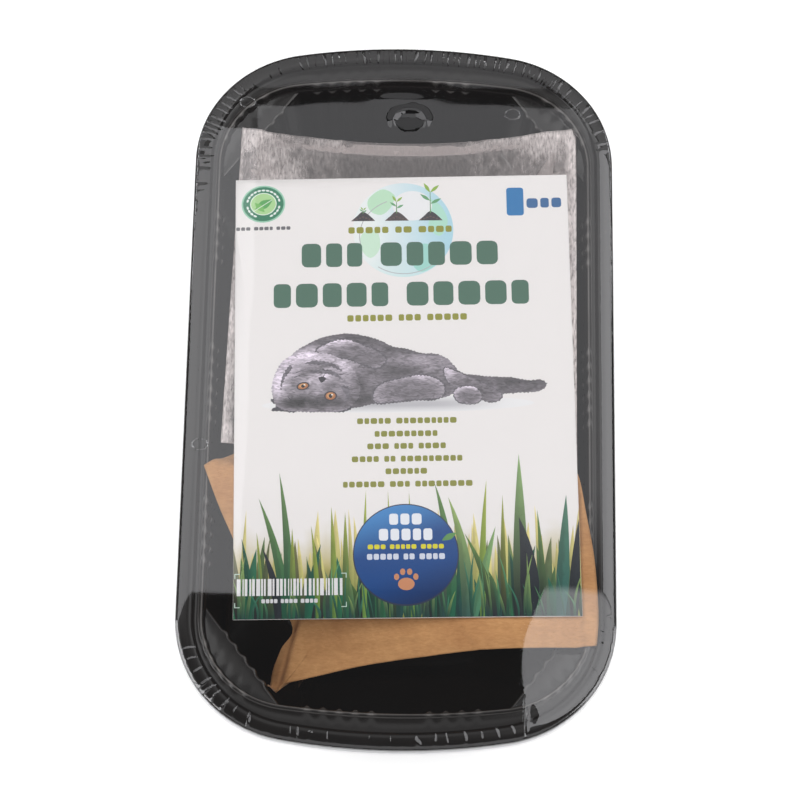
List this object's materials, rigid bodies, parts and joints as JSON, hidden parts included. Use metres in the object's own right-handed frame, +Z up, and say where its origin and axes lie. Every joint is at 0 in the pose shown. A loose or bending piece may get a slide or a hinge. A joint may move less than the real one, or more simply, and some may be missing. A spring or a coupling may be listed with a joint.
{
  "type": "grass growing kit tray",
  "caption": "Sealed kit for growing grass indoors: black tray with a seed sachet, a paper bag of growing medium and a printed card under clear shrink film.",
  "frame": {"origin": "centre of the flat underside of the film, which the kit stands on", "axes": "+X across the tray, +Y along the tray from the paper bag towards the seed sachet, +Z up"},
  "size_m": [0.134, 0.237, 0.0389],
  "materials": {
    "black_plastic": "satin black",
    "clear_film": "clear glossy film",
    "coated_card": "coated and printed",
    "sachet_film": "crinkled clear film",
    "seed": "dry grain",
    "kraft_paper": "brown kraft",
    "coir": "fibrous"
  },
  "bodies": {
    "root": {"tray": "black_plastic", "shrink_film": "clear_film", "printed_card": "coated_card", "seed_bag": "sachet_film", "wheat_seeds": "seed", "kraft_bag": "kraft_paper", "growing_medium": "coir"}
  },
  "joints": []
}
